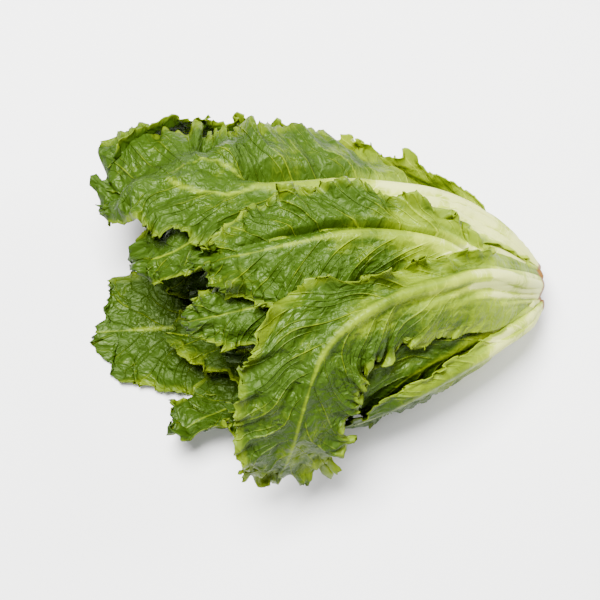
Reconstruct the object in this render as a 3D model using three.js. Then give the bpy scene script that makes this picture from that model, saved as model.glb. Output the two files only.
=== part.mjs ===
// A head of broad-leaved endive (escarole), cut at the stem and lying on its side.
//
// Millimetres, +Z up, and the head rests on z = 0. The stem's cut face looks along +X and the leaves
// run along -X. -Y is the front, where the loosest outer leaf bends over and hangs down.
//
// The leaves are nested like the real ones. The head is a family of shells, one inside the other, that
// share one bent centre line. A leaf lies in a shell of its own, so no two leaves can pass through each
// other, and each one starts where its shell meets the stem.

import * as THREE from "three";
import { mergeVertices } from "three/addons/utils/BufferGeometryUtils.js";

// ---- Driving dimensions --------------------------------------------------------------------------

const HEAD_LENGTH = 300; // from the cut face to the furthest leaf tip
const STEM_RADIUS = 12.5; // at the cut face
const STEM_LENGTH = 62; // the leaf-bearing cone inside the head
const STEM_TIP_RADIUS = 3;
const BLADE_THICKNESS = 1;
const CLEARANCE = 0.3; // between a leaf's base and the stem
const BASE_HALF_WIDTH = 6; // of an outer leaf, where it leaves the stem
const RIB_HALF_WIDTH = 9; // of an outer leaf's rib near the stem
const STRONG_RIB = 3.2; // how far the thickest ribs stand out of the blade near the stem
const SOFT_RIB = 1.4;

const CUT_X = HEAD_LENGTH / 2;
const DEGREE = Math.PI / 180;

// ---- The head's shells ---------------------------------------------------------------------------

// Starts at first, and comes within about 5% of first + rise after three times reach.
const settle = (along, first, rise, reach) => first + rise * (1 - Math.exp(-along / reach));
// Bends a size inwards over the open end of the head, where the leaf tips spread less.
const closing = (along, from, drop) => drop * Math.max(0, (along - from) / (1 - from)) ** 2;

// along runs from 0 at the cut face to 1 at the leaf tips.
const centreY = (along) => 15 * Math.exp(-along / 0.18);
const centreZ = (along) => settle(along, 17, 39, 0.17);
const backWidth = (along) => settle(along, STEM_RADIUS + 0.5, 126, 0.34) - closing(along, 0.75, 45);
const frontWidth = (along) => settle(along, STEM_RADIUS + 0.5, 88, 0.27) - closing(along, 0.7, 35);
const heightAbove = (along) => settle(along, STEM_RADIUS + 0.5, 55, 0.2) - closing(along, 0.7, 26);
const depthBelow = (along) =>
  Math.min(centreZ(along) - BLADE_THICKNESS / 2, settle(along, STEM_RADIUS + 0.5, 80, 0.22));

const ROUND_TOP = 2.1; // exponents of the outermost shell's cross-section: 2 is an ellipse
const FLAT_BOTTOM = 3; // squarer, where the head's own weight presses it on the table

// The outermost shell's distance from the centre line. around is an angle from +Y towards +Z.
function outerRadius(along, around) {
  const side = Math.cos(around);
  const up = Math.sin(around);
  const width = side >= 0 ? backWidth(along) : frontWidth(along);
  const height = up >= 0 ? heightAbove(along) : depthBelow(along);
  const power = up >= 0 ? ROUND_TOP : FLAT_BOTTOM;
  const sum = Math.abs(side / width) ** power + Math.abs(up / height) ** power;
  return sum ** (-1 / power);
}

// A point of the shell that lies at this share of the outermost shell's size.
function shellPoint(along, around, share) {
  const radius = share * outerRadius(along, around);
  return new THREE.Vector3(
    CUT_X - HEAD_LENGTH * along,
    centreY(along) + radius * Math.cos(around),
    centreZ(along) + radius * Math.sin(around),
  );
}

// The point of a shell straight outwards or inwards from a given point, as seen from the centre line.
function ontoShell(point, share) {
  const along = (CUT_X - point.x) / HEAD_LENGTH;
  const around = Math.atan2(point.z - centreZ(along), point.y - centreY(along));
  return shellPoint(along, around, share);
}

// The direction out of the shell at a point on it.
function shellNormal(point, share) {
  const along = (CUT_X - point.x) / HEAD_LENGTH;
  const around = Math.atan2(point.z - centreZ(along), point.y - centreY(along));
  const step = 0.004;
  const forward = shellPoint(along + step, around, share).sub(shellPoint(along - step, around, share));
  const across = shellPoint(along, around + step, share).sub(shellPoint(along, around - step, share));
  return across.cross(forward).normalize().negate();
}

// ---- Stem ----------------------------------------------------------------------------------------

const stemRadius = (along) => {
  const share = Math.min(1, (along * HEAD_LENGTH) / STEM_LENGTH);
  return STEM_TIP_RADIUS + (STEM_RADIUS - STEM_TIP_RADIUS) * (1 - share) ** 0.8;
};

// A cone turned about +Y, laid along the head and bent to its centre line.
function stemGeometry() {
  const steps = 10;
  const profile = [new THREE.Vector2(0, 0)];
  for (let i = 0; i <= steps; i++) {
    const depth = (STEM_LENGTH * i) / steps;
    profile.push(new THREE.Vector2(stemRadius(depth / HEAD_LENGTH), -depth));
  }
  profile.push(new THREE.Vector2(0, -STEM_LENGTH - STEM_TIP_RADIUS / 2));
  const geometry = new THREE.LatheGeometry(profile.reverse(), 20);
  geometry.rotateZ(-Math.PI / 2);
  const place = geometry.getAttribute("position");
  for (let i = 0; i < place.count; i++) {
    const along = -place.getX(i) / HEAD_LENGTH;
    place.setXYZ(i, CUT_X + place.getX(i), place.getY(i) + centreY(along), place.getZ(i) + centreZ(along));
  }
  return geometry;
}

// ---- Leaves --------------------------------------------------------------------------------------

// A leaf's right and left are as seen from outside the head with the stem nearest, so a greater angle
// around the head is further left. On both sides the blade widens from the base over the first part of
// the leaf, which is its spread, and towards the tip it narrows again. A side that stays narrow for long
// has its shoulder's width there.
function halfWidth(leaf, t, side) {
  const [full, spread, from = 0, shoulder = leaf.base] = side < 0 ? leaf.right : leaf.left;
  const [taper, blunt] = side < 0 ? leaf.endRight : leaf.endLeft;
  const rounding = 1 - (1 - blunt) * Math.max(0, (t - taper) / (1 - taper)) ** 2;
  const low = THREE.MathUtils.lerp(leaf.base, shoulder, THREE.MathUtils.smoothstep(t, 0, 0.2));
  return (low + (full - shoulder) * THREE.MathUtils.smoothstep(t, from, spread)) * rounding;
}

// Where a shell comes within reach of the stem, so that a leaf in it can start there.
function firstReach(share, around) {
  let along = 0.004;
  while (share * outerRadius(along, around) < stemRadius(along) + BLADE_THICKNESS / 2 + CLEARANCE + 0.5) {
    along += 0.002;
  }
  return along;
}

// The middle surface of a leaf as rows of points from the stem to the tip, each row from one margin over
// the rib to the other, with the direction out of the leaf at each point.
function leafRows(leaf, rowCount, columnCount) {
  const start = [firstReach(leaf.shell, leaf.path[0][1] * DEGREE), leaf.path[0][1]];
  const shellAt = (t) => leaf.shell + leaf.flare * t ** 5;
  const route = [start, ...leaf.path.slice(1)].map(([along, around], i, all) =>
    shellPoint(along, around * DEGREE, shellAt(i / (all.length - 1))),
  );
  const rib = new THREE.CatmullRomCurve3(route, false, "centripetal");
  const half = columnCount / 2;
  const rows = [];
  for (let i = 0; i <= rowCount; i++) {
    const t = i / rowCount;
    const share = shellAt(t);
    const onRib = ontoShell(rib.getPointAt(t), share);
    const tangent = rib.getTangentAt(t);
    const row = [];
    for (const side of [-1, 1]) {
      const width = halfWidth(leaf, t, side);
      const point = onRib.clone();
      const normal = shellNormal(point, share);
      const heading = normal.clone().cross(tangent).normalize().multiplyScalar(side);
      const sweep = 0.25 - leaf.sweep * THREE.MathUtils.smoothstep(t, 0.6, 1);
      const cells = [];
      let reached = 0;
      for (let j = 1; j <= half; j++) {
        const v = (j / half) ** 1.25;
        const stride = width * (v - reached);
        reached = v;
        const bent = heading.clone().addScaledVector(tangent, sweep * v).normalize();
        point.copy(ontoShell(point.addScaledVector(bent, stride), share));
        normal.copy(shellNormal(point, share));
        heading.addScaledVector(normal, -heading.dot(normal)).normalize();
        cells.push({ t, v: side * v, point: point.clone(), normal: normal.clone() });
      }
      if (side < 0) row.push(...cells.reverse(), { t, v: 0, point: onRib, normal: shellNormal(onRib, share) });
      else row.push(...cells);
    }
    rows.push(row);
  }
  return rows;
}

// How far a leaf's middle surface stands out of its shell. The margin waves up and down, and beyond the
// base it may turn outwards or inwards altogether. Beside the tip the right margin may lie open, and the
// tip may hang down.
function standOut(leaf, t, v) {
  const free = THREE.MathUtils.smoothstep(t, 0.1, 0.4);
  const wave = leaf.wave * Math.abs(v) ** 2.5 * Math.sin(2 * Math.PI * leaf.waves * t + (v < 0 ? 2.2 : 0));
  const turn = (v < 0 ? leaf.turnRight : leaf.turnLeft) * (1 - THREE.MathUtils.smoothstep(t, 0.6, 0.85));
  const open = v < 0 ? leaf.openRight * THREE.MathUtils.smoothstep(t, 0.86, 1) : 0;
  const drop = leaf.tipDrop * THREE.MathUtils.smoothstep(t, 0.84, 1.04) ** 1.5;
  return free * (wave + (turn + open) * v * v) - drop;
}

// How far the rib stands out of the blade's outer face.
function ribHeight(leaf, t, distance) {
  const height = leaf.rib * (1 - 0.85 * t) * THREE.MathUtils.smoothstep(t, 0.01, 0.18);
  return height * Math.exp(-((distance / (RIB_HALF_WIDTH * (1 - 0.7 * t))) ** 2));
}

// Cuts the cells of a slab's lower face along the same diagonals as the upper one's, so that a twisted
// leaf keeps its thickness.
function cutAlike(slab) {
  const { start, count } = slab.groups[5];
  const corners = slab.index;
  for (let i = start; i < start + count; i += 6) {
    const [a, b, d, c] = [0, 1, 2, 4].map((k) => corners.getX(i + k));
    [a, b, c, a, c, d].forEach((corner, k) => corners.setX(i + k, corner));
  }
}

// A slab with one cell through its thickness, bent so that its length runs along the leaf's rib.
function leafGeometry(leaf) {
  const { rows: rowCount, columns: columnCount } = leaf.grid;
  const surface = leafRows(leaf, rowCount, columnCount);
  const slab = new THREE.BoxGeometry(1, 1, 1, rowCount, columnCount, 1);
  const place = slab.getAttribute("position");
  for (let i = 0; i < place.count; i++) {
    const row = surface[Math.round((place.getX(i) + 0.5) * rowCount)];
    const cell = row[Math.round((place.getY(i) + 0.5) * columnCount)];
    const outside = place.getZ(i) > 0;
    const distance = Math.abs(cell.v) * halfWidth(leaf, cell.t, cell.v);
    const rib = outside ? ribHeight(leaf, cell.t, distance) : 0;
    const offset = standOut(leaf, cell.t, cell.v) + rib + (outside ? 0.5 : -0.5) * BLADE_THICKNESS;
    const point = cell.point.clone().addScaledVector(cell.normal, offset);
    // The lowest leaves lie flat on the table.
    point.z = Math.max(point.z, outside ? 0 : BLADE_THICKNESS);
    place.setXYZ(i, point.x, point.y, point.z);
  }
  cutAlike(slab);
  slab.deleteAttribute("normal");
  slab.deleteAttribute("uv");
  const geometry = mergeVertices(slab, 1e-4);
  geometry.computeVertexNormals();
  return geometry;
}

// The loose outer leaves. right and left are [full width, spread, where it starts to widen, shoulder], and
// path is the way of the rib from the stem to the tip as [along, around in degrees]. endRight and endLeft
// are where a side starts to narrow again, and what is left of its width at the tip.
const outer = (shell, right, left, path, more = {}) => ({
  shell,
  right,
  left,
  path,
  base: BASE_HALF_WIDTH,
  endRight: [0.74, 0.5],
  endLeft: [0.74, 0.5],
  flare: 0, // how much further out the tip is than the shell
  sweep: 1, // how much the blade's sides lean back towards the stem beside the tip
  wave: 1.5,
  waves: 3.5,
  turnRight: 0,
  turnLeft: 0,
  openRight: 0, // how far the right margin stands out beside the tip
  tipDrop: 0,
  rib: SOFT_RIB,
  grid: { rows: 14, columns: 8 },
  ...more,
});

const OUTER_LEAVES = [
  // Over the top, then bent forwards and down to the table in front.
  outer(1.08, [46, 0.64, 0.47, 11], [38, 0.2], [[0, 92], [0.086, 84], [0.158, 82], [0.269, 91], [0.35, 100],
    [0.43, 114], [0.48, 125], [0.51, 138], [0.532, 152], [0.55, 165], [0.57, 178], [0.585, 186]],
    { base: 7, flare: 0.2, endRight: [0.74, 0.45], endLeft: [0.8, 1.05], turnRight: 8, turnLeft: -8,
      wave: 4, rib: STRONG_RIB }),
  // Along the top.
  outer(0.93, [34, 0.75, 0.12], [46, 0.76, 0.4, 16], [[0, 73], [0.096, 76], [0.178, 72], [0.243, 64],
    [0.328, 62], [0.431, 64], [0.533, 70], [0.634, 77], [0.73, 85]], { turnRight: 12, turnLeft: -6 }),
  // Along the back of the top, the longest leaf.
  outer(0.86, [52, 0.3], [38, 0.25], [[0, 26], [0.07, 16], [0.139, 14], [0.232, 19], [0.321, 25], [0.449, 31],
    [0.554, 36], [0.658, 38], [0.761, 36], [0.847, 30], [0.98, 21]],
    { endRight: [0.8, 0.8], endLeft: [0.84, 0.55], sweep: 0.7, turnRight: 14, openRight: 28, tipDrop: 16,
      rib: STRONG_RIB }),
  // Along the front.
  outer(1.001, [11, 0.14, 0.03], [46, 0.4], [[0, 156], [0.069, 150], [0.106, 152], [0.153, 155], [0.21, 158],
    [0.27, 163], [0.35, 171], [0.43, 180], [0.5, 186]], { rib: STRONG_RIB }),
  // Inside the last one, nearer the top.
  outer(0.855, [24, 0.4], [28, 0.4], [[0, 119], [0.107, 138], [0.157, 144], [0.209, 147], [0.262, 151],
    [0.324, 160], [0.372, 173], [0.43, 186]], { flare: 0.1 }),
  // Flat on the table, its tip the furthest out at the open end.
  outer(1, [50, 0.6], [50, 0.6], [[0, 264], [0.3, 267], [0.533, 270], [0.76, 262], [0.99, 258]],
    { endRight: [0.74, 0.8], endLeft: [0.74, 0.8], wave: 0 }),
  // Round the back.
  outer(1.01, [36, 0.4], [16, 0.15], [[0, 347], [0.14, 352], [0.25, 352], [0.4, 349], [0.55, 344],
    [0.72, 340]], { turnLeft: 4 }),
  // Low at the front, the tip turned forwards on the table.
  outer(0.931, [34, 0.6], [34, 0.6], [[0, 208], [0.3, 216], [0.533, 222], [0.666, 215], [0.753, 207],
    [0.81, 199]]),
  // Low at the back, its tip beside the longest leaf's.
  outer(0.91, [30, 0.4], [14, 0.3], [[0, 305], [0.15, 320], [0.3, 330], [0.5, 342], [0.72, 355], [0.84, 3],
    [0.9, 6]], { flare: 0.06 }),
  // On the table towards the back.
  outer(0.82, [42, 0.5], [42, 0.5], [[0, 285], [0.3, 302], [0.6, 308], [0.86, 306]]),
  // Low at the front, behind the bent leaf.
  outer(0.79, [34, 0.5], [34, 0.5], [[0, 180], [0.2, 186], [0.45, 196], [0.68, 204]]),
  // Inside the one on the table.
  outer(0.73, [38, 0.5], [38, 0.5], [[0, 234], [0.3, 244], [0.6, 246], [0.8, 246]]),
  // Under the bent leaf, its tip at the open end.
  outer(0.72, [30, 0.5], [30, 0.5], [[0, 104], [0.2, 102], [0.45, 102], [0.533, 104], [0.615, 108], [0.69, 113],
    [0.765, 118]], { flare: 0.12, tipDrop: 8 }),
  // Inside the two at the back.
  outer(0.74, [36, 0.5], [34, 0.5], [[0, 346], [0.3, 354], [0.6, 2], [0.86, 6]]),
  // Under the leaf along the top, its tip at the open end.
  outer(0.66, [34, 0.5], [22, 0.5], [[0, 52], [0.3, 48], [0.658, 49], [0.74, 56], [0.802, 64], [0.89, 67]],
    { endRight: [0.74, 0.7], endLeft: [0.74, 0.7], tipDrop: 14 }),
];

// The younger leaves inside, each a golden angle round from the last one and in a smaller shell.
const INNER_COUNT = 14;
const GOLDEN_ANGLE = 137.5;
const INNER_LEAVES = Array.from({ length: INNER_COUNT }, (_, n) => {
  const youth = n / (INNER_COUNT - 1);
  const around = 237 + GOLDEN_ANGLE * n;
  const tip = THREE.MathUtils.lerp(0.82, 0.6, youth) - 0.05 * (n % 3);
  const width = THREE.MathUtils.lerp(34, 12, youth);
  return outer(0.59 * 0.9 ** n, [width, 0.6], [width, 0.6],
    [[0, around], [0.3, around + 4], [0.6 * tip + 0.1, around - 3], [tip, around + 5]],
    { base: THREE.MathUtils.lerp(5, 2.5, youth), wave: 1 - youth, rib: 0.6,
      grid: { rows: 10, columns: 6 } });
});

const nodes = new THREE.Group();

function addPiece(name, geometry, material) {
  const mesh = new THREE.Mesh(geometry, material);
  mesh.name = name;
  nodes.add(mesh);
}

const stemMaterial = new THREE.MeshStandardMaterial({ color: 0xd9d3a6, roughness: 0.6, metalness: 0 });
const outerMaterial = new THREE.MeshStandardMaterial({ color: 0x6f9a2c, roughness: 0.45, metalness: 0 });
const innerMaterial = new THREE.MeshStandardMaterial({ color: 0xa9bf45, roughness: 0.5, metalness: 0 });

const numbered = (kind, i) => `${kind}_${String(i + 1).padStart(2, "0")}`;

addPiece("stem", stemGeometry(), stemMaterial);
OUTER_LEAVES.forEach((leaf, i) => addPiece(numbered("outer_leaf", i), leafGeometry(leaf), outerMaterial));
INNER_LEAVES.forEach((leaf, i) => addPiece(numbered("inner_leaf", i), leafGeometry(leaf), innerMaterial));

// The origin is on the table, under the middle of the head.
const box = new THREE.Box3().setFromObject(nodes, true);
const middle = box.getCenter(new THREE.Vector3());
nodes.position.set(-middle.x, -middle.y, -box.min.z);

export default nodes;
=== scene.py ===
import math

import bmesh
import bpy
import numpy as np
from mathutils import Matrix, Vector
from mathutils.bvhtree import BVHTree


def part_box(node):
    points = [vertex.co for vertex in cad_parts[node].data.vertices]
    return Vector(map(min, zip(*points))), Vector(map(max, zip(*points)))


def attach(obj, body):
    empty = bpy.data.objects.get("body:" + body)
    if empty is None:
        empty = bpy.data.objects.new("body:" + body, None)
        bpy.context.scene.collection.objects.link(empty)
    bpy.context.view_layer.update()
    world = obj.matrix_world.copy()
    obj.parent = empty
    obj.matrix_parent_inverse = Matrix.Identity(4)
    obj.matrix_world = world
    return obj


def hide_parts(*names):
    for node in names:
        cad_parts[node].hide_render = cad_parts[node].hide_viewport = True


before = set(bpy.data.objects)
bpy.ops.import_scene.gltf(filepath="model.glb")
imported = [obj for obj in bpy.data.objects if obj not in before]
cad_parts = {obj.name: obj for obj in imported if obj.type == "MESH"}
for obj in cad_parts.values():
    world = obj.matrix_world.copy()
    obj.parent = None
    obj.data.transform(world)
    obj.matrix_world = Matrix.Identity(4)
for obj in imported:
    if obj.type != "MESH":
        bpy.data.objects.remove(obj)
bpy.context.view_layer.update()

# ---- Stem --------------------------------------------------------------------------------------------
# The short pale core that all the leaves grow on. A knife cut it off level, and the cut has dried to
# brown at its rim, with a paler, corky middle. It is a turned cone, bent a little upwards into the head.

MM = 0.001  # lengths are in millimetres until a piece is put in its place
CUT_RADIUS = 12.5
STEM_LENGTH = 62
STEM_TIP_RADIUS = 3
STEM_TAPER = 0.8
HEAD_LENGTH = 300
CUT_X = HEAD_LENGTH / 2
BASE_Y = 15  # how far back of the head's middle line the cut face's centre is

# The head's own middle line is drawn from the cut face's centre, and the frame says where that is.
stem_low, stem_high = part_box("stem")
SHIFT = np.array([
    stem_high.x / MM - CUT_X,
    stem_high.y / MM - BASE_Y - CUT_RADIUS,
    0,
])


def settle(along, first, rise, reach):
    return first + rise * (1 - np.exp(-along / reach))


def closing(along, start, drop):
    return drop * np.maximum(0, (along - start) / (1 - start)) ** 2


def centre_y(along):
    return BASE_Y * np.exp(-along / 0.18)


def centre_z(along):
    return settle(along, 17, 39, 0.17)


def stem_radius(share):
    return STEM_TIP_RADIUS + (CUT_RADIUS - STEM_TIP_RADIUS) * (1 - share) ** STEM_TAPER


def rise_between(x, low, high):
    share = np.clip((x - low) / (high - low), 0, 1)
    return share * share * (3 - 2 * share)


def new_material(name):
    material = bpy.data.materials.new(name)
    material.use_nodes = True
    nodes = material.node_tree.nodes
    nodes.clear()
    return material, nodes, material.node_tree.links


def node(nodes, kind, place, **values):
    made = nodes.new(kind)
    made.location = place
    for key, value in values.items():
        setattr(made, key, value)
    return made


def noise(nodes, links, place, where, scale, detail):
    made = node(nodes, "ShaderNodeTexNoise", place)
    made.inputs["Scale"].default_value = scale
    made.inputs["Detail"].default_value = detail
    links.new(where, made.inputs["Vector"])
    return made.outputs


def set_stops(ramp, tones):
    """Gives a colour ramp these stops, each a position and a colour."""
    ramp.interpolation = "EASE"
    while len(ramp.elements) < len(tones):
        ramp.elements.new(0.5)
    for stop, (position, tone) in zip(ramp.elements, tones):
        stop.position = position
        stop.color = (*tone, 1)


def smooth_piece(mesh, material):
    mesh.materials.append(material)
    mesh.polygons.foreach_set("use_smooth", np.ones(len(mesh.polygons), bool))
    mesh.update()
    piece = bpy.data.objects.new(mesh.name, mesh)
    bpy.context.scene.collection.objects.link(piece)
    return piece


def stem_finish():
    material, nodes, links = new_material("cut stem")
    where = node(nodes, "ShaderNodeTexCoord", (-1500, 0))
    centred = node(nodes, "ShaderNodeMapping", (-1300, 200))
    centred.inputs["Location"].default_value = (
        0, -(BASE_Y + SHIFT[1]) * MM, -centre_z(0) * MM)
    centred.inputs["Scale"].default_value = (0, 1, 1)
    links.new(where.outputs["Object"], centred.inputs["Vector"])
    middle = node(nodes, "ShaderNodeVectorMath", (-1100, 200), operation="LENGTH")
    links.new(centred.outputs["Vector"], middle.inputs[0])
    cork = noise(nodes, links, (-1100, -100), where.outputs["Object"], 240, 6)
    blotch = noise(nodes, links, (-1100, -350), where.outputs["Object"], 90, 3)
    # The distance from the middle, as an uneven share of the radius, picks the pith, the darker ring round
    # it or the rim.
    uneven = node(nodes, "ShaderNodeMath", (-900, 100), operation="MULTIPLY_ADD")
    uneven.inputs[1].default_value = 1 / MM / CUT_RADIUS
    links.new(middle.outputs["Value"], uneven.inputs[0])
    wander = node(nodes, "ShaderNodeMath", (-900, -200), operation="MULTIPLY_ADD")
    wander.inputs[1].default_value = 0.5
    wander.inputs[2].default_value = -0.25
    links.new(blotch["Fac"], wander.inputs[0])
    links.new(wander.outputs[0], uneven.inputs[2])
    zones = node(nodes, "ShaderNodeValToRGB", (-700, 100))
    set_stops(zones.color_ramp, (
        (0, (0.38, 0.26, 0.12)), (0.35, (0.44, 0.31, 0.14)), (0.62, (0.2, 0.095, 0.03)),
        (0.78, (0.35, 0.22, 0.09)), (0.98, (0.12, 0.05, 0.014))))
    links.new(uneven.outputs[0], zones.inputs["Fac"])
    browned = node(nodes, "ShaderNodeAttribute", (-700, -350), attribute_name="browned")
    speckled = node(nodes, "ShaderNodeMix", (-400, 100), data_type="RGBA", blend_type="MULTIPLY")
    speckled.inputs["Factor"].default_value = 0.45
    links.new(zones.outputs["Color"], speckled.inputs["A"])
    links.new(cork["Color"], speckled.inputs["B"])
    whole = node(nodes, "ShaderNodeMix", (-200, 100), data_type="RGBA")
    whole.inputs["A"].default_value = (0.74, 0.72, 0.46, 1)
    links.new(browned.outputs["Fac"], whole.inputs["Factor"])
    links.new(speckled.outputs["Result"], whole.inputs["B"])
    bump = node(nodes, "ShaderNodeBump", (-200, -200))
    bump.inputs["Strength"].default_value = 0.6
    bump.inputs["Distance"].default_value = 0.0007
    links.new(cork["Fac"], bump.inputs["Height"])
    skin = node(nodes, "ShaderNodeBsdfPrincipled", (0, 0))
    skin.inputs["Roughness"].default_value = 0.6
    links.new(whole.outputs["Result"], skin.inputs["Base Color"])
    links.new(bump.outputs["Normal"], skin.inputs["Normal"])
    out = node(nodes, "ShaderNodeOutputMaterial", (300, 0))
    links.new(skin.outputs["BSDF"], out.inputs["Surface"])
    return material


bm = bmesh.new()
bmesh.ops.create_circle(bm, cap_ends=True, radius=CUT_RADIUS * 0.3, segments=48)
# Outwards over the cut face, over its rounded rim, and then in towards the tip.
outline = [
    (CUT_RADIUS * 0.62, 0.3), (CUT_RADIUS * 0.86, 0.1), (CUT_RADIUS * 0.96, -0.15), (CUT_RADIUS, -1)]
for step in range(1, 11):
    share = step / 10
    outline.append((stem_radius(share), -1 - (STEM_LENGTH - 1) * share))
rim = list(bm.edges)
height = 0
for radius, level in outline:
    grown = bmesh.ops.extrude_edge_only(bm, edges=rim)["geom"]
    verts = [item for item in grown if isinstance(item, bmesh.types.BMVert)]
    rim = [item for item in grown if isinstance(item, bmesh.types.BMEdge)]
    now = verts[0].co.xy.length
    bmesh.ops.scale(bm, verts=verts, vec=(radius / now, radius / now, 1))
    bmesh.ops.translate(bm, verts=verts, vec=(0, 0, level - height))
    height = level
bmesh.ops.contextual_create(bm, geom=rim)
bmesh.ops.rotate(bm, verts=bm.verts, matrix=Matrix.Rotation(math.pi / 2, 3, "Y"))
bmesh.ops.recalc_face_normals(bm, faces=bm.faces)
browned = bm.verts.layers.float.new("browned")
for vert in bm.verts:
    depth = -vert.co.x
    along = depth / HEAD_LENGTH
    vert[browned] = float(1 - rise_between(depth, 0.2, 2.6))
    vert.co = (
        (CUT_X + SHIFT[0] + vert.co.x) * MM,
        (centre_y(max(along, 0)) + SHIFT[1] + vert.co.y) * MM,
        (centre_z(max(along, 0)) + vert.co.z) * MM,
    )
mesh = bpy.data.meshes.new("cut_stem")
bm.to_mesh(mesh)
bm.free()
piece = smooth_piece(mesh, stem_finish())
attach(piece, "root")
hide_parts("stem")

# ---- Outer leaves ------------------------------------------------------------------------------------
# The broad, loose leaves round the outside. Each is one thin blade on a thick pale rib, folded into
# ruffles at its toothed margin. It is wrapped round the head in a shell of its own, so that the leaves
# lie one inside the other, and it is made as a flat grid that is laid on its shell and then ruffled.

BLADE = 0.55  # thickness
THICKEST = 9  # of a rib with its blade
THICKNESS_STEPS = 90
LEAF_BASE = 6  # half the width of an outer leaf where it leaves the stem
STALK_GAP = 1.3  # from the stem's skin to the middle of a leaf's base
RIB_HALF_WIDTH = 7.5
STRONG_RIB = 4
SOFT_RIB = 1.8
VEIN_SPACING = 21  # along the rib
TOOTH_LENGTH = 5.5
QUILT_LENGTH = 0.2  # as a share of the leaf's length
QUILT_HALF_WIDTH = 12
GREAT_WAVES = 3.5  # along a margin
DEEPEST_PUSH = 9  # how far down a leaf may be pushed by one that lies over it
MOST_ROOM = 18.0  # how far up it may rise where nothing lies over it
LOOK_UP = 60  # how far to look for one
BLADE_GAP = 0.9  # from its skin to the middle of the one over it


def outer_radius(along, around):
    side, up = np.cos(around), np.sin(around)
    back = settle(along, 13, 126, 0.34) - closing(along, 0.75, 45)
    front = settle(along, 13, 88, 0.27) - closing(along, 0.7, 35)
    above = settle(along, 13, 55, 0.2) - closing(along, 0.7, 26)
    below = np.minimum(centre_z(along) - 0.5, settle(along, 13, 80, 0.22))
    width = np.where(side >= 0, back, front)
    depth = np.where(up >= 0, above, below)
    power = np.where(up >= 0, 2.1, 3.0)
    return (np.abs(side / width) ** power + np.abs(up / depth) ** power) ** (-1 / power)


def shell_point(along, around, share):
    radius = share * outer_radius(along, around)
    return np.stack([
        CUT_X - HEAD_LENGTH * along,
        centre_y(along) + radius * np.cos(around),
        centre_z(along) + radius * np.sin(around),
    ], -1)


def place_in_head(point):
    along = (CUT_X - point[..., 0]) / HEAD_LENGTH
    around = np.arctan2(point[..., 2] - centre_z(along), point[..., 1] - centre_y(along))
    return along, around


def onto_shell(point, share):
    return shell_point(*place_in_head(point), share)


def unit(vector):
    return vector / np.linalg.norm(vector, axis=-1, keepdims=True)


def shell_normal(point, share):
    along, around = place_in_head(point)
    step = 0.004
    forward = shell_point(along + step, around, share) - shell_point(along - step, around, share)
    across = shell_point(along, around + step, share) - shell_point(along, around - step, share)
    return -unit(np.cross(across, forward))


def smooth_route(points, count):
    """Evenly spaced points on a smooth curve through the given ones, and its direction at each."""
    ends = np.vstack([2 * points[0] - points[1], points, 2 * points[-1] - points[-2]])
    fine = []
    share = np.linspace(0, 1, 40, endpoint=False)[:, None]
    for a, b, c, d in zip(ends, ends[1:], ends[2:], ends[3:]):
        before, here, after = (max(np.linalg.norm(q - p), 1e-6) ** 0.5 for p, q in ((a, b), (b, c), (c, d)))
        leave = here * ((b - a) / before - (c - a) / (before + here) + (c - b) / here)
        arrive = here * ((c - b) / here - (d - b) / (here + after) + (d - c) / after)
        fine.append(b + leave * share + (3 * (c - b) - 2 * leave - arrive) * share ** 2
                    + (2 * (b - c) + leave + arrive) * share ** 3)
    fine = np.vstack([*fine, points[-1:]])
    length = np.concatenate([[0], np.cumsum(np.linalg.norm(np.diff(fine, axis=0), axis=1))])
    even = np.linspace(0, length[-1], count)
    route = np.stack([np.interp(even, length, fine[:, k]) for k in range(3)], -1)
    return route, unit(np.gradient(route, axis=0)), even


def first_reach(share, around):
    along = 0.004
    while True:
        grown = min(1, along * HEAD_LENGTH / STEM_LENGTH)
        if share * outer_radius(along, around) >= stem_radius(grown) + STALK_GAP:
            return along
        along += 0.002


def half_width(leaf, t, side):
    """A side's numbers are its full half width and how far along it has that. Two more may follow: how far
    along it starts to widen, and its half width up to there."""
    widths = leaf["right" if side < 0 else "left"]
    full, spread, start, shoulder = (*widths, *(0, leaf["base"])[len(widths) - 2:])
    taper, blunt = leaf["end_right" if side < 0 else "end_left"]
    rounding = 1 - (1 - blunt) * np.maximum(0, (t - taper) / (1 - taper)) ** 2
    return (leaf["base"] + (shoulder - leaf["base"]) * rise_between(t, 0, 0.2)
            + (full - shoulder) * rise_between(t, start, spread)) * rounding


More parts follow.
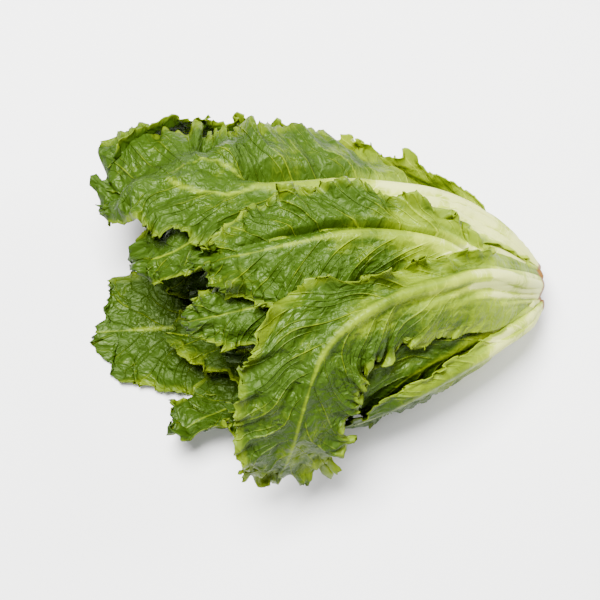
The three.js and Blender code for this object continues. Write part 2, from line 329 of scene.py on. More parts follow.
def lay_leaf(leaf, rows, columns):
    """The leaf's smooth middle surface on its shell, as grids of rows from stem to tip."""
    path = [(first_reach(leaf["shell"], math.radians(leaf["path"][0][1])), leaf["path"][0][1]),
            *leaf["path"][1:]]
    stops = np.linspace(0, 1, len(path))
    shares = leaf["shell"] + leaf["flare"] * stops ** 5
    route = np.array([shell_point(along, math.radians(around), share)
                      for (along, around), share in zip(path, shares)])
    rib, heading_on, distance_on = smooth_route(route, rows + 1)
    t = np.linspace(0, 1, rows + 1)
    share = leaf["shell"] + leaf["flare"] * t ** 5
    on_rib = onto_shell(rib, share)
    half = columns // 2
    grid = {key: np.zeros((rows + 1, columns + 1, 3)) for key in ("place", "normal", "outward", "onward")}
    even = np.linspace(0, 1, half + 1)
    reached = 0.65 * even + 0.35 * (1 - (1 - even) ** 2)  # columns crowd towards the margin
    sides = np.concatenate([-reached[:0:-1], reached])
    grid["t"] = np.repeat(t[:, None], columns + 1, 1)
    grid["v"] = np.repeat(sides[None], rows + 1, 0)
    grid["s"] = np.repeat(distance_on[:, None], columns + 1, 1)
    grid["d"] = np.zeros((rows + 1, columns + 1))
    sweep = 0.25 - leaf["sweep"] * rise_between(t, 0.6, 1)
    for side in (-1, 1):
        width = half_width(leaf, t, side)
        point = on_rib.copy()
        normal = shell_normal(point, share)
        heading = side * unit(np.cross(normal, heading_on))
        for j in range(half + 1):
            if j:
                stride = width * (reached[j] - reached[j - 1])
                bent = unit(heading + heading_on * (sweep * reached[j])[:, None])
                point = onto_shell(point + bent * stride[:, None], share)
                normal = shell_normal(point, share)
                heading = unit(heading - normal * np.sum(heading * normal, -1, keepdims=True))
            column = half + side * j
            grid["place"][:, column] = point
            grid["normal"][:, column] = normal
            grid["outward"][:, column] = heading
            grid["onward"][:, column] = heading_on
            grid["d"][:, column] = side * width * reached[j]
    return grid


def rumple(x, y, length, spread, chance, count=5):
    """A smooth random swell between about -1 and 1, its crests lying across x within a spread of angles."""
    total = 0
    for _ in range(count):
        angle = chance.uniform(-spread, spread)
        wave = length * chance.uniform(0.75, 1.35)
        total = total + np.cos(2 * np.pi * (x * math.cos(angle) + y * math.sin(angle)) / wave
                               + chance.uniform(0, 7))
    return total / math.sqrt(count)


def soften(values, times):
    for _ in range(times):
        for axis in (0, 1):
            padded = np.concatenate([np.take(values, [0], axis), values, np.take(values, [-1], axis)], axis)
            count = values.shape[axis]
            low, mid, high = (np.take(padded, np.arange(i, i + count), axis) for i in range(3))
            values = 0.25 * low + 0.5 * mid + 0.25 * high
    return values


laid = {}  # every leaf laid so far, coarsely, by its shell


def room_below_others(leaf, grid, thick):
    """How far each point may rise before it meets a leaf that lies over it."""
    verts, faces = [], []
    for shell, coarse in laid.items():
        if shell > leaf["shell"] and (leaf["under"] is None or shell in leaf["under"]):
            rows, columns = coarse.shape[:2]
            index = np.arange(rows * columns).reshape(rows, columns) + len(verts)
            verts.extend(coarse.reshape(-1, 3).tolist())
            corners = (index[:-1, :-1], index[:-1, 1:], index[1:, 1:], index[1:, :-1])
            faces.extend(np.stack(corners, -1).reshape(-1, 4).tolist())
    shape = grid["t"].shape
    room = np.full(shape, MOST_ROOM)
    if faces:
        over = BVHTree.FromPolygons(verts, faces)
        start = grid["place"] - grid["normal"] * DEEPEST_PUSH
        for i in range(shape[0]):
            for j in range(shape[1]):
                hit = over.ray_cast(start[i, j], grid["normal"][i, j], LOOK_UP)
                if hit[3] is not None:
                    room[i, j] = hit[3] - DEEPEST_PUSH - 0.5 * thick[i, j] - BLADE_GAP
    tight = room.copy()
    for axis in (0, 1):
        for shift in (-2, -1, 1, 2):
            tight = np.minimum(tight, np.roll(room, shift, axis))
    return soften(np.minimum(tight, MOST_ROOM), 3)


def ruffle(leaf, grid, chance):
    """Moves the smooth surface into the leaf's real relief. Returns what the finish needs to know."""
    t, v, s, d = (grid[key] for key in "tvsd")
    reach = np.abs(d)
    edge = np.abs(v)
    right = v < 0
    rib_end = rise_between(t, leaf["rib_until"], leaf["rib_until"] + 0.07)
    # The margin's great waves, as the plain solid has them.
    free = rise_between(t, leaf["free"] / 4, leaf["free"])
    turned = 1 - rise_between(t, leaf["turn_until"], leaf["turn_until"] + 0.25)
    turn = np.where(right, leaf["turn_right"], leaf["turn_left"]) * turned
    turn = turn + np.where(right, leaf["open_right"], 0) * rise_between(t, 0.86, 1)
    wave = np.sin(2 * np.pi * GREAT_WAVES * t + np.where(right, 2.2, 0))
    great = free * (leaf["wave"] * edge ** 2.5 * wave + turn * v * v)
    crease = np.where(right, leaf["crease"], 0)
    crease = crease * rise_between(t, 0.15, 0.35) * (1 - rise_between(t, 0.7, 0.9)) * (1 - rib_end)
    great = great - crease * np.exp(-((edge - leaf["crease_at"]) / leaf["crease_width"]) ** 2)
    standing = leaf["standing"] * rise_between(t, 0.15, 0.3) * (1 - rise_between(t, 0.8, 1))
    beyond_crease = rise_between(edge, leaf["crease_at"], leaf["crease_at"] + 0.1)
    great = great + np.where(right, standing, 0) * beyond_crease
    great = great - leaf["tip_drop"] * rise_between(t, 0.84, 1.04) ** 1.5
    # Ruffles: they grow towards the margin and the tip, and their folds run outwards and onwards.
    tip = rise_between(t, 0.8, 1)
    rim = 1 - (1 - edge) * (1 - tip)
    fold = s - 0.6 * reach + np.where(right, 11.0, 0)
    opening = rise_between(t, 0.05, 0.3)
    crumpled = leaf["crumple"] * rise_between(t, 0.15, 0.25) * (1 - rise_between(t, 0.45, 0.55))
    calm = 1 - np.where(right, leaf["calm"][0], leaf["calm"][1]) * (1 - rise_between(t, 0.3, 0.5))
    size = leaf["ruffle"] * opening * calm * (1 + np.where(right, crumpled, 0))
    lift, slide = 0, 0
    for length, height, grip, curl in ((44, 0.9, 1.6, 0.5), (19, 0.8, 3, 0.8), (9, 0.4, 5, 0.7)):
        warp = 1.6 * rumple(s, d, 3.2 * length, 1.2, chance)
        swell = 0.75 + 0.45 * rumple(s, d, 2.6 * length, 1.2, chance)
        phase = 2 * np.pi * fold / length + warp
        across = 2 * np.pi * d / length + warp
        lift = lift + size * height * rim ** grip * swell * (
            np.sin(phase) * (1 - 0.6 * tip) + 0.6 * tip * np.sin(across))
        bunched = curl * leaf["curl"] * opening * length / (4 * np.pi)
        slide = slide - bunched * rim ** (grip + 1) * np.sin(2 * phase)
    lift = np.where(lift > 0, lift * leaf["proud"], lift * 0.6)
    # Veins: ridges that leave the rib on both sides by turns and curve out to the margin.
    vein = (s - 1.7 * reach + 0.012 * reach ** 2) / VEIN_SPACING + np.where(right, 0.45, 0)
    vein = vein + 0.15 * rumple(s, d, 46, 1.4, chance)
    number = np.round(vein)
    strength = 0.65 + 0.35 * np.sin(2.4 * number + right)
    from_vein = np.abs(vein - number)
    veined = rise_between(t, leaf["veins_from"], leaf["veins_from"] + 0.2) * rise_between(reach, 0.5, 5)
    ribbed = veined * calm * (1 - 0.6 * rise_between(edge, 0.6, 1))
    hollow = np.sin(np.pi * from_vein) ** 2
    off_rib = rise_between(reach, 2, 9)
    relief = ribbed * leaf["relief"] * (
        strength * 0.9 * np.exp(-(from_vein * VEIN_SPACING / 1.1) ** 2) - 1.3 * hollow * off_rib)
    relief = relief + free * calm * leaf["relief"] * off_rib * (
        1.6 * rumple(s, d, 27, 1.6, chance) + 0.28 * rumple(s, d, 11, 1.6, chance))
    # Furrows along the petiole, fanning out with it.
    furrows_end = np.where(right, leaf["furrows_to"][0], leaf["furrows_to"][1])
    furrowed = (1 - rise_between(t, 0.25, 0.55)) * rise_between(t, 0, 0.05)
    furrowed = furrowed * (1 - rise_between(reach, 0.5 * furrows_end, furrows_end))
    furrow = d / (3.4 + 14 * t) + 0.25 * rumple(s, 4 * d, 80, 0.5, chance)
    relief = relief + leaf["furrow"] * furrowed * np.cos(2 * np.pi * furrow)
    rib_shape = np.exp(-(d / (leaf["rib_width"] * (1 - 0.75 * t))) ** 2) * (1 - rib_end)
    rib = leaf["rib"] * (1 - 0.85 * t) * rise_between(t, 0, 0.15) * rib_shape
    petiole = (1 - rise_between(t, 0.1, 0.45)) * np.exp(-(d / 14) ** 2) * leaf["flesh"]
    thick = np.clip(BLADE + rib + petiole + leaf["rib"] * 0.35 * rib_shape * (1 - t), BLADE, THICKEST)
    # Lobes and teeth, which point onwards.
    jag = (s + 0.3 * reach) / TOOTH_LENGTH + 0.5 * rumple(s, d, 26, 1.4, chance) + np.where(right, 0.37, 0)
    step = np.floor(jag)
    uneven = 0.6 + 0.4 * np.sin(1.9 * step) * np.sin(0.7 * step + 1)
    tooth = (jag - step) ** 1.3 * uneven
    lobe = 0.9 * rumple(s, d, 30, 0.4, chance)
    out_share = rise_between(edge, 0.62, 1) ** 1.5
    tooth = leaf["teeth"] * opening * (1.3 * tooth * rise_between(edge, 0.84, 1) + lobe * out_share)
    cross_jag = d / TOOTH_LENGTH + 0.5 * rumple(s, d, 26, 1.4, chance)
    cross_tooth = (1 - np.abs(2 * (cross_jag - np.floor(cross_jag)) - 1)) ** 1.4
    onward_tooth = leaf["teeth"] * (1.1 * cross_tooth + 1.3 * np.cos(d / 8 + 1)) * rise_between(t, 0.95, 1)
    tooth = tooth * rise_between(t, 0.1, 0.4)
    # Where a rib ends short of the tip, it forks round a big quilt of the blade, with more quilts about it.
    past = np.clip((t - leaf["rib_until"]) / QUILT_LENGTH, 0, 1)
    bow = QUILT_HALF_WIDTH * np.sin(np.pi * past)
    from_middle = np.abs(d + 0.4 * bow)
    fork = np.exp(-((from_middle - bow) / 1.1) ** 2)
    fork = rise_between(past, 0, 0.12) * (1 - rise_between(past, 0.85, 1)) * fork
    swell = np.sin(np.pi * past) * np.maximum(0, 1 - (from_middle / (bow + 0.5)) ** 2)
    quilt = rib_end * rumple(s, d, 40, 1.6, chance) * rise_between(1 - edge, 0, 0.4)
    quilt = leaf["quilt"] * (0.5 * quilt + 0.25 * fork + 0.9 * swell)
    veined = veined * (1 - rise_between(swell, 0, 0.2))
    rise = great + lift + relief + quilt + 0.5 * (thick - BLADE)
    rise = np.minimum(rise, room_below_others(leaf, grid, thick))
    place = (grid["place"] + grid["normal"] * rise[..., None]
             - grid["outward"] * (0.2 * rim ** 3 * size)[..., None]
             + grid["onward"] * slide[..., None])
    sideways = unit(np.gradient(place, axis=1)) * np.sign(v)[..., None]
    onwards = unit(np.gradient(place, axis=0))
    place = place + sideways * tooth[..., None] + onwards * onward_tooth[..., None]
    # The lowest leaves lie flat on the table.
    lowest = BLADE / 2 + 34 * max(0, 1 - leaf["shell"])
    place[..., 2] = np.where(place[..., 2] < lowest, lowest + 0.15 * (place[..., 2] - lowest), place[..., 2])
    place[..., 2] = np.maximum(place[..., 2], thick / 2)
    # How green it is: hardly along the rib, a little on the young blade at the base, and full further out.
    # It also holds painted shade and light on the petiole: greener down its furrows, paler on its ridges.
    pale = np.where(right, leaf["pale"][0], leaf["pale"][1])
    pale = pale * (1 - rise_between(t, 0.1, leaf["rib_pale"] + 0.3)) + 1.2 * (1 - t)
    bladed = rise_between(reach, 0.4 * pale, pale + 1.2 + 1.8 * (1 - t))
    bladed = bladed + (1 - bladed) * rib_end
    greening = rise_between(t, leaf["rib_pale"] - 0.18, leaf["rib_pale"] + 0.12)
    further = t + 0.2 * rise_between(reach, 6, 26)
    grown = rise_between(further, leaf["green_from"] - 0.1, leaf["green_from"] + 0.5)
    grown = grown - leaf["young_tip"] * rise_between(t, 0.72, 1)
    young = np.where(right, leaf["young"][0], leaf["young"][1])
    green = bladed * (young + (1 - young) * grown) + (1 - bladed) * 0.55 * greening
    # Painted shade and painted light on the petiole: its furrows are coloured greener and its ridges paler,
    # following the relief of the furrows.
    green = np.clip(green - 0.16 * furrowed * np.cos(2 * np.pi * furrow) - 0.4 * fork, 0, 1)
    return place, thick, vein, green, veined


def leaf_finish(name, colours, glow=0.25, gloss=0.36):
    """A leaf's skin: cream at the base and rib, through yellow-green to green, with paler veins and a fine
    net of them. The colours are the stops from bare to fully green."""
    material, nodes, links = new_material(name)

    def math_node(kind, place, *inputs):
        made = node(nodes, "ShaderNodeMath", place, operation=kind)
        for socket, value in zip(made.inputs, inputs):
            if isinstance(value, (int, float)):
                socket.default_value = value
            else:
                links.new(value, socket)
        return made.outputs[0]

    def band(place, value, low, high, start, end):
        made = node(nodes, "ShaderNodeMapRange", place, interpolation_type="SMOOTHSTEP")
        links.new(value, made.inputs["Value"])
        for key, number in (("From Min", low), ("From Max", high), ("To Min", start), ("To Max", end)):
            made.inputs[key].default_value = number
        return made.outputs["Result"]

    flat = node(nodes, "ShaderNodeUVMap", (-2100, 200), uv_map="flat")
    lines = node(nodes, "ShaderNodeUVMap", (-2100, -200), uv_map="veins")
    green = node(nodes, "ShaderNodeAttribute", (-2100, -500), attribute_name="green").outputs["Fac"]
    veined = node(nodes, "ShaderNodeAttribute", (-2100, -800), attribute_name="veined").outputs["Fac"]
    split = node(nodes, "ShaderNodeSeparateXYZ", (-1900, -200))
    links.new(lines.outputs["UV"], split.inputs["Vector"])
    where, across = split.outputs["X"], split.outputs["Y"]

    # Lateral veins, and finer ones between them that show only further out.
    main = math_node("PINGPONG", (-1700, -200), where, 0.5)
    main = band((-1500, -200), main, 0.0, 0.06, 1, 0)
    main = math_node("MULTIPLY", (-1300, -200), main, band((-1500, -350), across, 0.3, 0.95, 1, 0.3))
    half = math_node("PINGPONG", (-1700, -500), math_node("MULTIPLY_ADD", (-1900, -500), where, 2, 0.5), 0.5)
    half = band((-1500, -500), half, 0.0, 0.07, 0.6, 0)
    half = math_node("MULTIPLY", (-1300, -500), half, band((-1500, -650), across, 0.15, 0.5, 0, 1))
    veins = math_node("MULTIPLY", (-950, -300), math_node("MAXIMUM", (-1100, -300), main, half), veined)

    warp = noise(nodes, links, (-2100, 600), flat.outputs["UV"], 1.3, 2)
    shaken = node(nodes, "ShaderNodeVectorMath", (-1900, 400), operation="MULTIPLY_ADD")
    shaken.inputs[1].default_value = (0.7, 0.7, 0)
    links.new(warp["Color"], shaken.inputs[0])
    links.new(flat.outputs["UV"], shaken.inputs[2])
    net = node(nodes, "ShaderNodeTexVoronoi", (-1700, 300), feature="DISTANCE_TO_EDGE")
    net.inputs["Scale"].default_value = 1.7
    links.new(shaken.outputs["Vector"], net.inputs["Vector"])
    fine_net = node(nodes, "ShaderNodeTexVoronoi", (-1700, 550), feature="DISTANCE_TO_EDGE")
    fine_net.inputs["Scale"].default_value = 5.5
    links.new(shaken.outputs["Vector"], fine_net.inputs["Vector"])
    net_line = band((-1500, 300), net.outputs["Distance"], 0.0, 0.06, 1, 0)
    cloud = noise(nodes, links, (-1700, 800), flat.outputs["UV"], 0.4, 4)
    stretched = node(nodes, "ShaderNodeMapping", (-1900, 1050))
    stretched.inputs["Scale"].default_value = (0.12, 3.2, 1)
    links.new(flat.outputs["UV"], stretched.inputs["Vector"])
    strings = noise(nodes, links, (-1700, 1050), stretched.outputs["Vector"], 1, 2)

    # Veins and patches move the colour back or on along its run from bare to green.
    share = math_node("MULTIPLY_ADD", (-900, 500), veins, -0.24, green)
    share = math_node("MULTIPLY_ADD", (-750, 500), net_line, -0.07, share)
    patch = band((-1500, 800), cloud["Fac"], 0.3, 0.7, -0.16, 0.16)
    string_patch = band((-1500, 1050), strings["Fac"], 0.3, 0.75, -0.04, 0.07)
    share = math_node("ADD", (-600, 500), share, patch)
    share = math_node("ADD", (-450, 500), share, string_patch)
    # The margin is always about the same yellow-green.
    edging = math_node("MULTIPLY", (-450, 300), band((-900, 300), across, 0.72, 1.0, 0, 0.6),
                       math_node("SUBTRACT", (-600, 300), 0.42, share))
    share = math_node("ADD", (-300, 500), share, edging)
    run = node(nodes, "ShaderNodeValToRGB", (-150, 500))
    set_stops(run.color_ramp, colours)
    links.new(share, run.inputs["Fac"])
    # The cut ends of the petioles have dried brown with the stem.
    along = node(nodes, "ShaderNodeSeparateXYZ", (-1900, 1300))
    links.new(flat.outputs["UV"], along.inputs["Vector"])
    ragged = math_node("MULTIPLY_ADD", (-1500, 1300), strings["Fac"], -0.22, along.outputs["X"])
    browned = band((-1300, 1300), ragged, 0.06, 0.3, 1, 0)
    dried = node(nodes, "ShaderNodeMix", (100, 600), data_type="RGBA")
    dried.inputs["B"].default_value = (0.2, 0.085, 0.018, 1)
    links.new(browned, dried.inputs["Factor"])
    links.new(run.outputs["Color"], dried.inputs["A"])
    colour = dried.outputs["Result"]

    cells = band((-1200, 100), net.outputs["Distance"], 0.0, 0.35, 0.8, 0)
    fine_cells = band((-1200, -50), fine_net.outputs["Distance"], 0.0, 0.3, 0.12, 0)
    crinkle = noise(nodes, links, (-1700, 1300), shaken.outputs["Vector"], 1.1, 2.5)
    crinkles = band((-1200, -200), crinkle["Fac"], 0.3, 0.7, 0, 1.6)
    height = math_node("ADD", (-900, -500), math_node("MULTIPLY_ADD", (-1100, -500), veins, 1.4, crinkles),
                       math_node("ADD", (-1100, -650), cells, fine_cells))
    height = math_node("MULTIPLY", (-700, -500), height, green)
    bare = math_node("SUBTRACT", (-700, -700), 1.0, green)
    height = math_node("MULTIPLY_ADD", (-500, -500), strings["Fac"],
                       math_node("MULTIPLY", (-600, -700), bare, 0.7), height)
    bump = node(nodes, "ShaderNodeBump", (-50, -400))
    bump.inputs["Strength"].default_value = 0.75
    bump.inputs["Distance"].default_value = 0.001
    links.new(height, bump.inputs["Height"])

    skin = node(nodes, "ShaderNodeBsdfPrincipled", (200, 200))
    skin.inputs["IOR"].default_value = 1.36
    skin.inputs["Specular Tint"].default_value = (0.75, 1, 0.42, 1)
    rough = band((-100, -100), cloud["Fac"], 0.3, 0.7, gloss, gloss + 0.14)
    links.new(rough, skin.inputs["Roughness"])
    links.new(colour, skin.inputs["Base Color"])
    links.new(bump.outputs["Normal"], skin.inputs["Normal"])
    through = node(nodes, "ShaderNodeBsdfTranslucent", (200, -150))
    warm = node(nodes, "ShaderNodeMix", (0, -200), data_type="RGBA", blend_type="MULTIPLY")
    warm.inputs["Factor"].default_value = 1
    warm.inputs["B"].default_value = (1.5, 1.5, 0.5, 1)
    links.new(colour, warm.inputs["A"])
    links.new(warm.outputs["Result"], through.inputs["Color"])
    links.new(bump.outputs["Normal"], through.inputs["Normal"])
    both = node(nodes, "ShaderNodeMixShader", (450, 100))
    both.inputs["Fac"].default_value = glow
    links.new(skin.outputs["BSDF"], both.inputs[1])
    links.new(through.outputs["BSDF"], both.inputs[2])
    out = node(nodes, "ShaderNodeOutputMaterial", (650, 100))
    links.new(both.outputs["Shader"], out.inputs["Surface"])
    return material


def make_leaf(cad_node, leaf, material, rows, columns, seed):
    chance = np.random.default_rng(seed)
    grid = lay_leaf(leaf, rows, columns)
    place, thick, vein, green, veined = ruffle(leaf, grid, chance)
    laid[leaf["shell"]] = place[::3, ::2]
    bm = bmesh.new()
    bmesh.ops.create_grid(bm, x_segments=columns, y_segments=rows, size=1)
    mesh = bpy.data.meshes.new(f"{cad_node}_blade")
    bm.to_mesh(mesh)
    bm.free()
    count = len(mesh.vertices)
    flat_place = np.zeros(count * 3, np.float32)
    mesh.vertices.foreach_get("co", flat_place)
    flat_place = flat_place.reshape(-1, 3)
    column = np.rint((flat_place[:, 0] + 1) / 2 * columns).astype(int)
    row = np.rint((flat_place[:, 1] + 1) / 2 * rows).astype(int)
    mesh.vertices.foreach_set("co", ((place[row, column] + SHIFT) * MM).astype(np.float32).ravel())
    corner = np.zeros(len(mesh.loops), np.int32)
    mesh.loops.foreach_get("vertex_index", corner)
    for title, pair in (("flat", (grid["s"] / 10, grid["d"] / 10)), ("veins", (vein, np.abs(grid["v"])))):
        layer = mesh.uv_layers.new(name=title)
        values = np.stack([p[row, column][corner] for p in pair], -1).astype(np.float32)
        layer.data.foreach_set("uv", values.ravel())
    for title, values in (("green", green), ("veined", veined)):
        layer = mesh.attributes.new(title, "FLOAT", "POINT")
        layer.data.foreach_set("value", values[row, column].astype(np.float32))
    piece = smooth_piece(mesh, material)
    group = piece.vertex_groups.new(name="thickness")
    weight = (thick / THICKEST)[row, column]
    for step in range(THICKNESS_STEPS + 1):
        chosen = np.nonzero(np.rint(weight * THICKNESS_STEPS).astype(int) == step)[0]
        if len(chosen):
            group.add(chosen.tolist(), step / THICKNESS_STEPS, "REPLACE")
    wall = piece.modifiers.new("thickness", "SOLIDIFY")
    wall.thickness = THICKEST * MM
    wall.offset = 0
    wall.vertex_group = "thickness"
    wall.thickness_vertex_group = 0.0
    wall.use_even_offset = False
    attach(piece, "root")
    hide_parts(cad_node)


# A leaf's path is (how far along the head, how many degrees round it). Left and right are as seen from
# outside, looking from the stem to the tip. A pair of numbers is for the right and the left side, except
# end_right and end_left, which say how far along that side starts to narrow and how blunt it ends.
PLAIN_LEAF = dict(
    # Its outline, and the shells of the leaves that it keeps below, where None is all of those further out.
    base=LEAF_BASE, flare=0, sweep=1, end_right=(0.74, 0.5), end_left=(0.74, 0.5), under=None,
    # Its great shape: waves, margins turned up or down, and a crease beside the rib.
    wave=1.5, free=0.4, turn_right=0, turn_left=0, turn_until=0.6, open_right=0, tip_drop=0,
    crease=0, crease_at=0.36, crease_width=0.11, standing=0,
    # Its ruffles and teeth.
    ruffle=5.5, proud=0.8, curl=1, crumple=0, calm=(0, 0), teeth=3,
    # Its rib, which ends at rib_until, past the tip on most leaves, and its veins and furrows.
    rib=SOFT_RIB, rib_width=RIB_HALF_WIDTH, rib_until=1.5, quilt=0, flesh=2.6,
    relief=1, veins_from=0.1, furrow=0.6, furrows_to=(22, 22),
    # Its green: how wide and how far the rib is pale, where the blade greens, and how green it is before.
    pale=(8, 8), rib_pale=0.35, green_from=0.2, young=(0.34, 0.34), young_tip=0,
)


def new_leaf(shell, right, left, path, **more):
    return PLAIN_LEAF | dict(shell=shell, right=right, left=left, path=path) | more


CREAM = (0.64, 0.68, 0.2)
PALE_GREEN = (0.35, 0.44, 0.02)
YELLOW_GREEN = (0.168, 0.24, 0.0045)
LEAF_GREEN = (0.027, 0.058, 0.003)
GREEN = leaf_finish("outer leaf", (
    (0, CREAM), (0.18, PALE_GREEN), (0.42, YELLOW_GREEN), (0.9, LEAF_GREEN)))

OUTER_LEAVES = [
    new_leaf(1.08, (41, 0.62, 0.45, 18), (36, 0.2), [
        (0, 94), (0.086, 90), (0.158, 90), (0.269, 97), (0.35, 104), (0.43, 115), (0.48, 125), (0.51, 138),
        (0.532, 152), (0.55, 165), (0.57, 178), (0.585, 186)],
        base=11, flare=0.2, end_right=(0.77, 0.6), end_left=(0.8, 1.1), turn_right=3, turn_left=-8,
        crumple=1.8, curl=0.6, calm=(0.3, 0.75), teeth=3.6, rib=6, rib_width=5, flesh=1, furrow=0.8,
        furrows_to=(9, 20), veins_from=0.25, pale=(3, 14), rib_pale=0.33, green_from=0.3,
        young=(0.5, 0.42), young_tip=0.55),
    new_leaf(0.93, (34, 0.75, 0.17), (46, 0.76, 0.4, 20), [
        (0, 73), (0.096, 76), (0.178, 72), (0.243, 64), (0.328, 62), (0.431, 64), (0.533, 70), (0.634, 77),
        (0.73, 85)],
        turn_right=8, turn_left=-14, crease=6, crease_at=0.19, crease_width=0.045, standing=5,
        proud=1.2, teeth=4, rib=3.5, rib_width=7, pale=(7, 7), rib_pale=0.48, green_from=0.35,
        young=(0.42, 0.42), young_tip=0.15),
    new_leaf(0.86, (52, 0.3), (38, 0.25), [
        (0, 26), (0.07, 16), (0.139, 14), (0.232, 19), (0.321, 25), (0.449, 31), (0.554, 36), (0.658, 38),
        (0.761, 36), (0.847, 30), (0.98, 21)],
        under=(1.08, 0.93), sweep=0.7, end_right=(0.64, 0.62), end_left=(0.84, 0.55), free=0.3,
        turn_right=15, open_right=28, tip_drop=16, crease=15, crease_at=0.26, crease_width=0.12,
        ruffle=5, proud=1.1, curl=0.5, teeth=3.5, rib=STRONG_RIB, rib_until=0.64, quilt=5, furrow=1.3,
        pale=(8, 28), rib_pale=0.5, green_from=0.38, young=(0.42, 0.42)),
    new_leaf(1.001, (11, 0.14, 0.03), (54, 0.4), [
        (0, 156), (0.069, 150), (0.106, 152), (0.153, 155), (0.21, 158), (0.27, 163), (0.35, 171),
        (0.43, 180), (0.5, 186)],
        turn_left=-4, ruffle=2.2, calm=(0.5, 0.5), teeth=1.2, rib=STRONG_RIB, pale=(11, 11),
        rib_pale=0.4, green_from=0.4),
    new_leaf(0.85, (26, 0.4), (28, 0.4), [
        (0, 119), (0.107, 138), (0.157, 144), (0.209, 147), (0.262, 151), (0.324, 160), (0.372, 173),
        (0.43, 186)],
        flare=0.1, rib=2.4, pale=(4, 12), green_from=0.3, young=(0.5, 0.34)),
    new_leaf(1, (50, 0.6), (50, 0.6), [
        (0, 264), (0.3, 267), (0.533, 270), (0.76, 262), (0.99, 258)],
        end_right=(0.74, 0.8), end_left=(0.74, 0.8), wave=0, turn_right=-9, crease=4, ruffle=2.8,
        teeth=2.4, relief=0.7, green_from=0),
    new_leaf(1.01, (36, 0.4), (16, 0.15), [
        (0, 347), (0.14, 352), (0.25, 352), (0.4, 349), (0.55, 344), (0.72, 340)],
        turn_left=4, ruffle=2.4, curl=0.6, teeth=3.6, rib=2.4, pale=(4, 4), rib_pale=0.1,
        green_from=0.75),
    new_leaf(0.931, (34, 0.6), (34, 0.6), [
        (0, 208), (0.3, 216), (0.533, 222), (0.666, 215), (0.753, 207), (0.81, 199)]),
    new_leaf(0.91, (30, 0.4), (16, 0.3), [
        (0, 305), (0.15, 320), (0.3, 330), (0.5, 342), (0.72, 355), (0.86, 6), (0.93, 13)],
        flare=-0.04, turn_left=8, turn_until=1, ruffle=3),
    new_leaf(0.82, (42, 0.5), (42, 0.5), [(0, 285), (0.3, 302), (0.6, 308), (0.86, 306)]),
    new_leaf(0.79, (34, 0.5), (34, 0.5), [(0, 180), (0.2, 186), (0.45, 196), (0.68, 204)]),
    new_leaf(0.73, (38, 0.5), (38, 0.5), [(0, 234), (0.3, 244), (0.6, 246), (0.8, 246)]),
    new_leaf(0.72, (30, 0.5), (30, 0.5), [
        (0, 104), (0.2, 102), (0.45, 102), (0.533, 104), (0.615, 108), (0.69, 113), (0.765, 118)],
        flare=0.12, tip_drop=8, ruffle=6, proud=1),
    new_leaf(0.74, (36, 0.5), (34, 0.5), [(0, 346), (0.3, 354), (0.6, 2), (0.86, 6)]),
    new_leaf(0.66, (34, 0.5), (22, 0.5), [
        (0, 52), (0.3, 48), (0.658, 49), (0.74, 56), (0.802, 64), (0.89, 67)],
        end_right=(0.74, 0.7), end_left=(0.74, 0.7), tip_drop=14, ruffle=8, proud=1),
]
# The rows and columns of each grid: the leaves on top are the finest. The outermost shells are made first,
# so that each leaf keeps under the ones that lie over it.
FINENESS = [(300, 58)] * 3 + [(230, 46)] * 6 + [(170, 38)] * 6
for i in sorted(range(len(OUTER_LEAVES)), key=lambda i: -OUTER_LEAVES[i]["shell"]):
    rows, columns = FINENESS[i]
    make_leaf(f"outer_leaf_{i + 1:02d}", OUTER_LEAVES[i], GREEN, rows, columns, 40 + i)

# ---- Inner leaves ------------------------------------------------------------------------------------
# The younger leaves inside, paler than the outer ones, and shorter, narrower and less ruffled towards the
# middle. Each grows a golden angle round the stem from the last one.

INNER_COUNT = 14
GOLDEN_ANGLE = 137.5

YOUNG = leaf_finish("inner leaf", (
    (0, CREAM), (0.3, PALE_GREEN), (0.65, YELLOW_GREEN), (1, LEAF_GREEN)), glow=0.3, gloss=0.4)

for n in range(INNER_COUNT):
    youth = n / (INNER_COUNT - 1)
    around = 237 + GOLDEN_ANGLE * n
    tip_along = 0.82 - 0.22 * youth - 0.05 * (n % 3)
    width = 34 - 22 * youth
    leaf = new_leaf(
        0.59 * 0.9 ** n, (width, 0.6), (width, 0.6),
        [(0, around), (0.3, around + 4), (0.6 * tip_along + 0.1, around - 3), (tip_along, around + 5)],
        base=5 - 2.5 * youth, wave=1 - youth, rib=0.6, ruffle=4.5 - 2 * youth, teeth=2.4, flesh=0.8,
    )
    make_leaf(f"inner_leaf_{n + 1:02d}", leaf, YOUNG, 120, 30, 80 + n)

# ---- Floor, light and camera -------------------------------------------------------------------------
# A wide pale floor under soft light from above, seen from the front and nearly straight down.

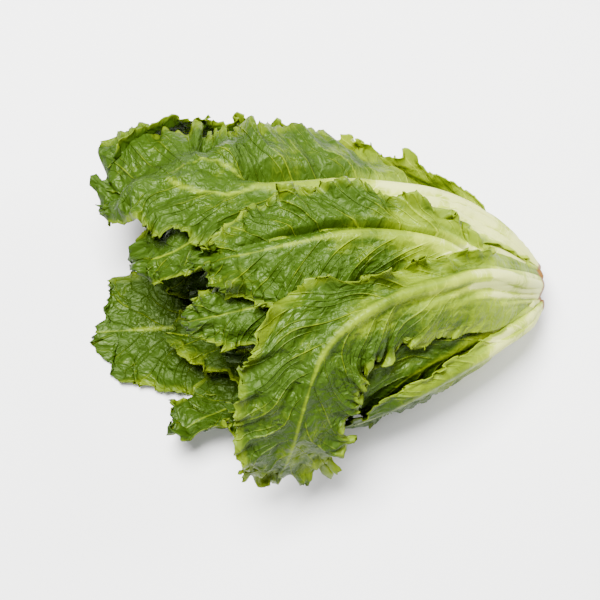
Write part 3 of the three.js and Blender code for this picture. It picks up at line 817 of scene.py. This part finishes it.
bm = bmesh.new()
bmesh.ops.create_grid(bm, x_segments=1, y_segments=1, size=4)
mesh = bpy.data.meshes.new("floor")
bm.to_mesh(mesh)
bm.free()
floor = bpy.data.objects.new("floor", mesh)
bpy.context.scene.collection.objects.link(floor)
paper, nodes, links = new_material("pale paper")
matt = node(nodes, "ShaderNodeBsdfPrincipled", (0, 0))
matt.inputs["Base Color"].default_value = (0.86, 0.86, 0.85, 1)
matt.inputs["Roughness"].default_value = 0.9
out = node(nodes, "ShaderNodeOutputMaterial", (300, 0))
links.new(matt.outputs["BSDF"], out.inputs["Surface"])
mesh.materials.append(paper)

world = bpy.data.worlds.new("soft room")
bpy.context.scene.world = world
world.use_nodes = True
daylight = world.node_tree.nodes["Background"]
daylight.inputs["Color"].default_value = (1, 1, 1, 1)
daylight.inputs["Strength"].default_value = 0.12

LIT_POINT = Vector((0, 0, 0.05))


def soft_light(name, place, size, watts):
    data = bpy.data.lights.new(name, "AREA")
    data.shape = "SQUARE"
    data.size = size
    data.energy = watts
    lamp = bpy.data.objects.new(name, data)
    lamp.location = place
    lamp.rotation_mode = "QUATERNION"
    lamp.rotation_quaternion = (LIT_POINT - Vector(place)).to_track_quat("-Z", "Y")
    bpy.context.scene.collection.objects.link(lamp)


soft_light("key", (-0.2, 0.3, 1.25), 0.6, 92)
soft_light("side", (1.0, 0.5, 0.8), 0.6, 20)
soft_light("fill", (0.1, -1.1, 0.9), 0.8, 8)

ELEVATION = math.radians(78)
CAMERA_DISTANCE = 0.924
aim = Vector(((-10 + SHIFT[0]) * MM, (1 + SHIFT[1]) * MM, 0.045))
back = Vector((0, -math.cos(ELEVATION), math.sin(ELEVATION)))
lens = bpy.data.cameras.new("camera")
lens.lens = 85
lens.sensor_width = 36
camera = bpy.data.objects.new("camera", lens)
camera.location = aim + back * CAMERA_DISTANCE
camera.rotation_mode = "QUATERNION"
camera.rotation_quaternion = (-back).to_track_quat("-Z", "Y")
bpy.context.scene.collection.objects.link(camera)
bpy.context.scene.camera = camera
